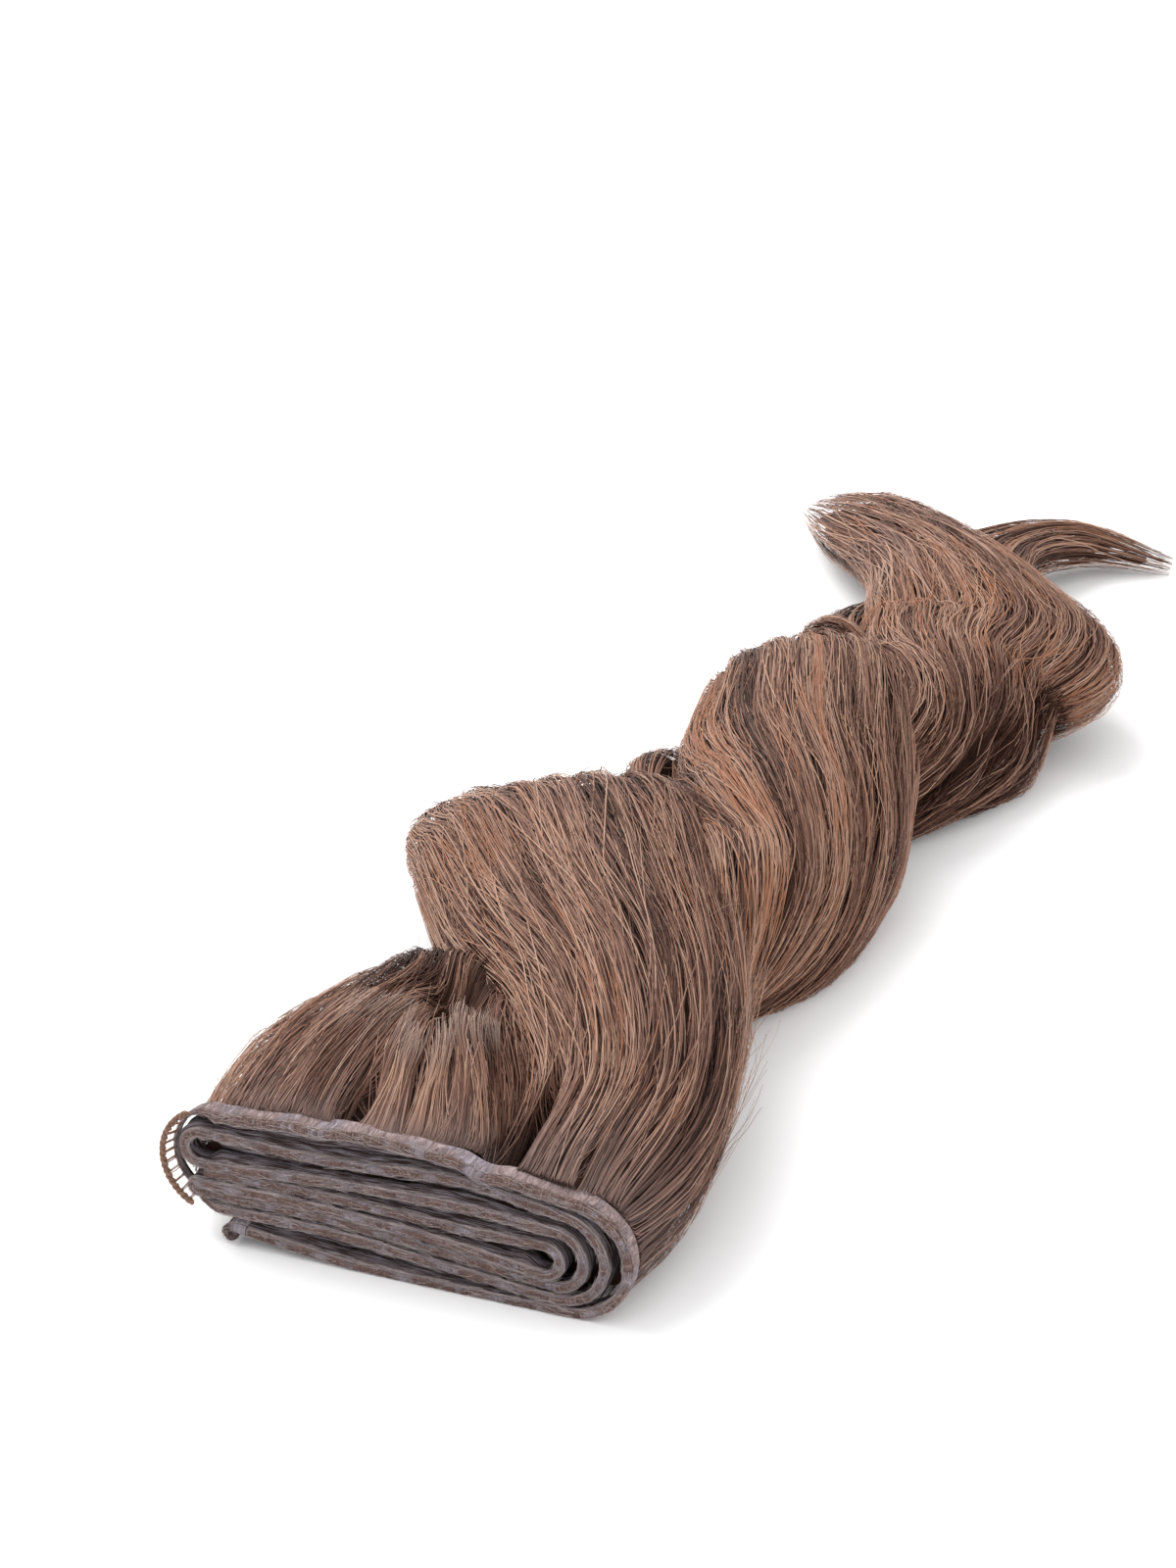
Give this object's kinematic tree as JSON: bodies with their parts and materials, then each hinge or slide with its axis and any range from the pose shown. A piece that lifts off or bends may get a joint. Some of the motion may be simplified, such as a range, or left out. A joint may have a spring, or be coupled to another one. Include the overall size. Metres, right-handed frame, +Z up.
{
  "type": "hair weft",
  "caption": "Hair weft lying flat: a narrow sewn band folded into a layered roll with an open ladder of stitches at one fold, and brown hair falling away in a loose rope twist.",
  "frame": {"origin": "middle of the object's footprint on the table", "axes": "+Y along the hair from the band to the tips, +Z up, so the band's sewn edge faces -Y"},
  "size_m": [0.0722, 0.2346, 0.0266],
  "materials": {
    "band": "felted hair and thread, matt",
    "thread": "dark brown sewing thread",
    "hair": "brown hair with a soft satin sheen"
  },
  "bodies": {
    "root": {"weft_band": "band", "stitch_ladder": "thread", "hair_fall": "hair"}
  },
  "joints": []
}
